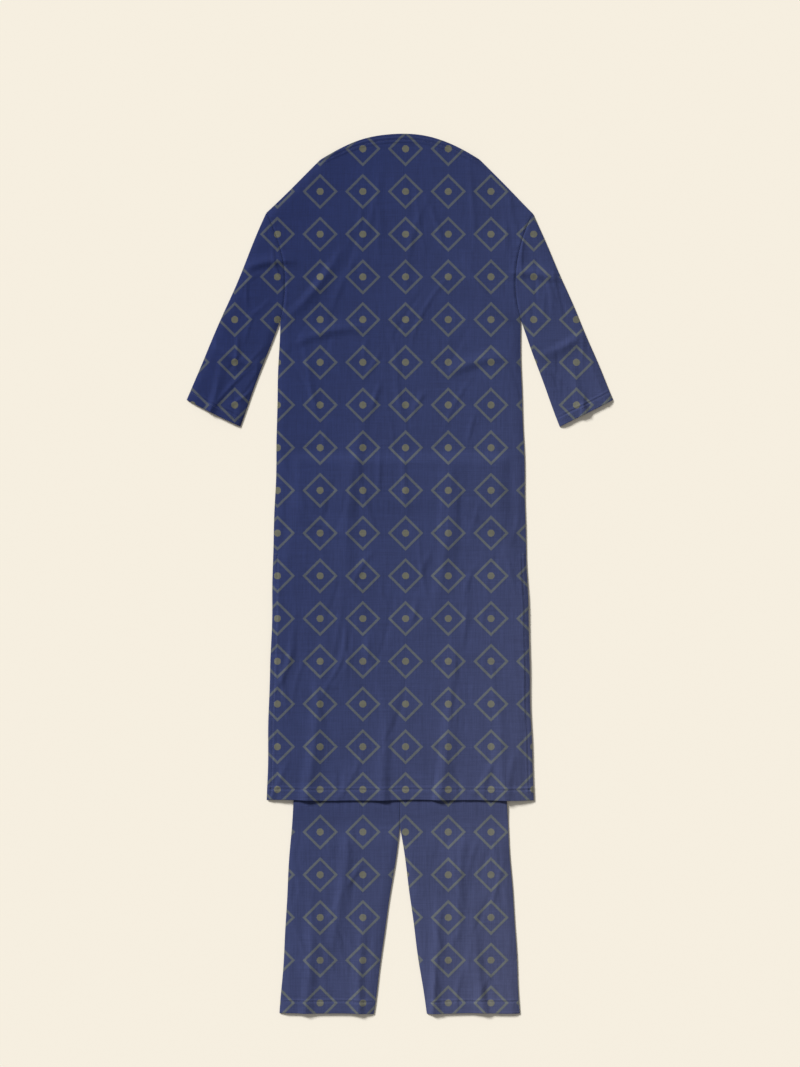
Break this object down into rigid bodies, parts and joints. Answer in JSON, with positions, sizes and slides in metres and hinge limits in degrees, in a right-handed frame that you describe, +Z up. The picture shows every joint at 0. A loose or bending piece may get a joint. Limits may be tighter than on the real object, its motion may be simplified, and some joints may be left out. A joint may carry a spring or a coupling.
{
  "type": "kurta and trousers set",
  "caption": "Calf-length kurta with short sleeves and straight trousers, laid out flat and face up as one outfit.",
  "frame": {"origin": "middle of the laid-out set's box, on the surface that it lies on", "axes": "+Y runs from the trouser hems to the neck, +X to the wearer's left, +Z up from the surface, out of the set's front"},
  "size_m": [0.8, 1.65, 0.0099],
  "materials": {
    "kurta_cloth": "navy woven cloth with muted gold diamond and dot motifs, soft low sheen",
    "trouser_cloth": "greyer navy of the same woven cloth and motifs, soft low sheen"
  },
  "bodies": {
    "root": {"kurta_front": "kurta_cloth", "kurta_back": "kurta_cloth", "sleeve_left": "kurta_cloth", "sleeve_right": "kurta_cloth", "trouser_front_left": "trouser_cloth", "trouser_front_right": "trouser_cloth", "trouser_back_left": "trouser_cloth", "trouser_back_right": "trouser_cloth", "waistband": "trouser_cloth"}
  },
  "joints": []
}
